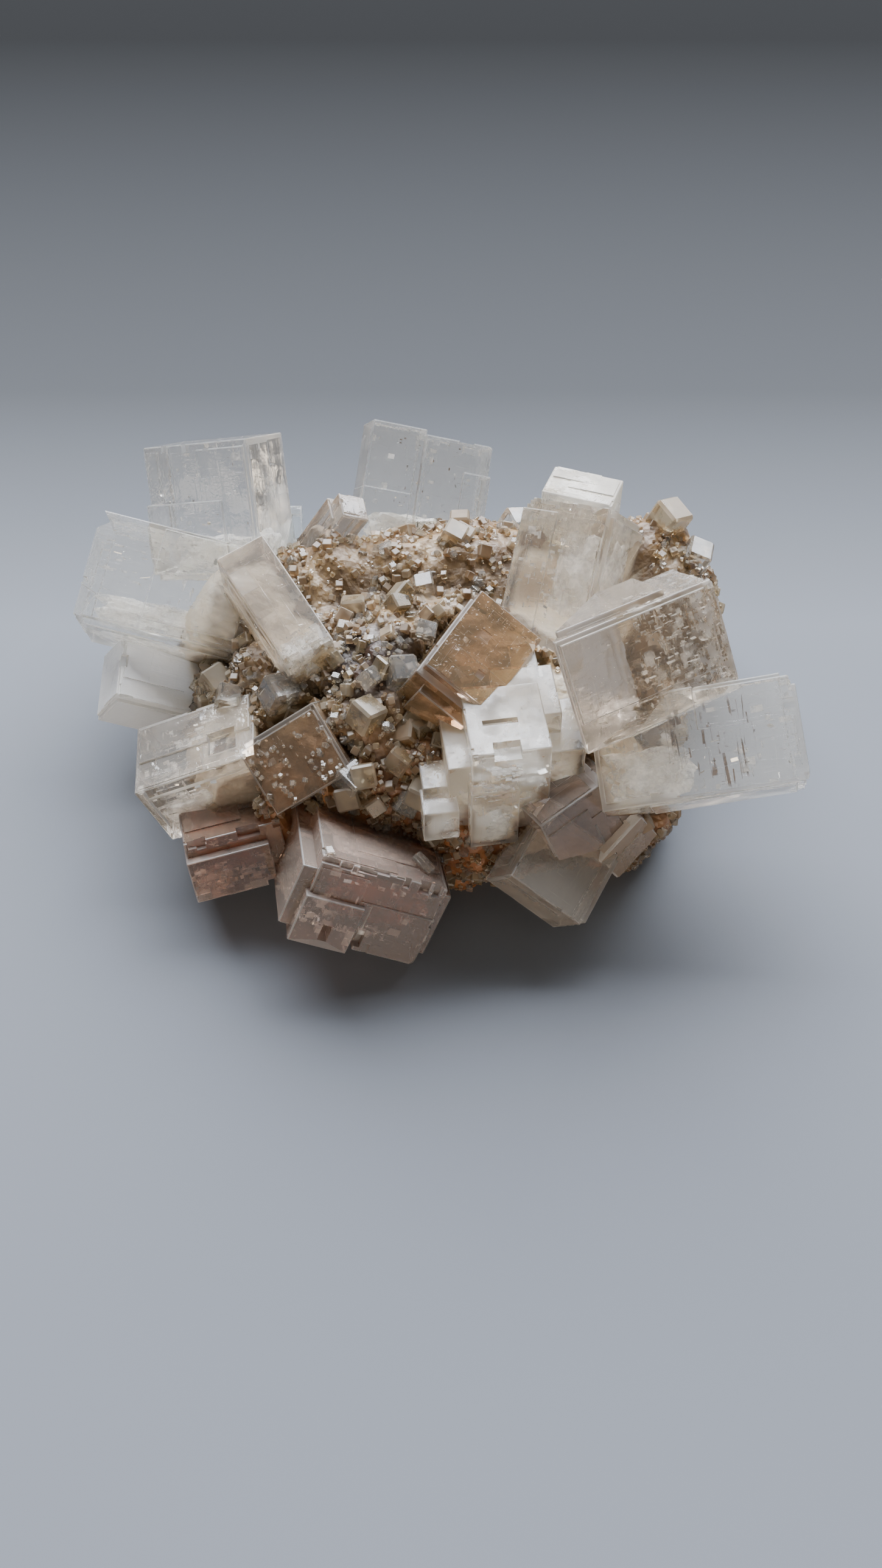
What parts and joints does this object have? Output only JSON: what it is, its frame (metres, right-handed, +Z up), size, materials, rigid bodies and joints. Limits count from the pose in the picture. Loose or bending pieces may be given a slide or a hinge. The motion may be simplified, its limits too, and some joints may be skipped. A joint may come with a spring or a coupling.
{
  "type": "halite crystal cluster",
  "caption": "Cluster of clear and brown cubic rock salt crystals, some stepped and elongated, growing out of a clay-stained mound crusted with tiny cubes.",
  "frame": {"origin": "on the flat base, near the middle of the mound", "axes": "+Z up from the flat base, +X to the right along the cluster's length, +Y towards the back, where the tall clear blocks stand"},
  "size_m": [0.0789, 0.0605, 0.0304],
  "materials": {
    "clear_halite": "clear natural crystal faces with growth steps and cracks",
    "smoky_halite": "grey-brown translucent crystal, fractured inside",
    "clay_stained_halite": "brown translucent crystal with clay inside",
    "clay_and_salt_matrix": "sugary salt grains stained with brown clay"
  },
  "bodies": {
    "root": {"matrix": "clay_and_salt_matrix", "crystal_left_pair": "clear_halite", "crystal_back_left_small": "clear_halite", "crystal_left_low": "clear_halite", "crystal_left_column": "clear_halite", "crystal_lower_left_group": "clay_stained_halite", "crystal_front_block": "smoky_halite", "crystal_centre_cube": "clay_stained_halite", "crystal_back_small": "clay_stained_halite", "crystal_back_pair": "clear_halite", "crystal_right_columns": "clear_halite", "crystal_right_smoky": "smoky_halite", "crystal_far_right": "clear_halite", "crystal_front_steps": "clear_halite", "crystal_lower_right": "smoky_halite", "crystal_right_shadowed": "clay_stained_halite"}
  },
  "joints": []
}
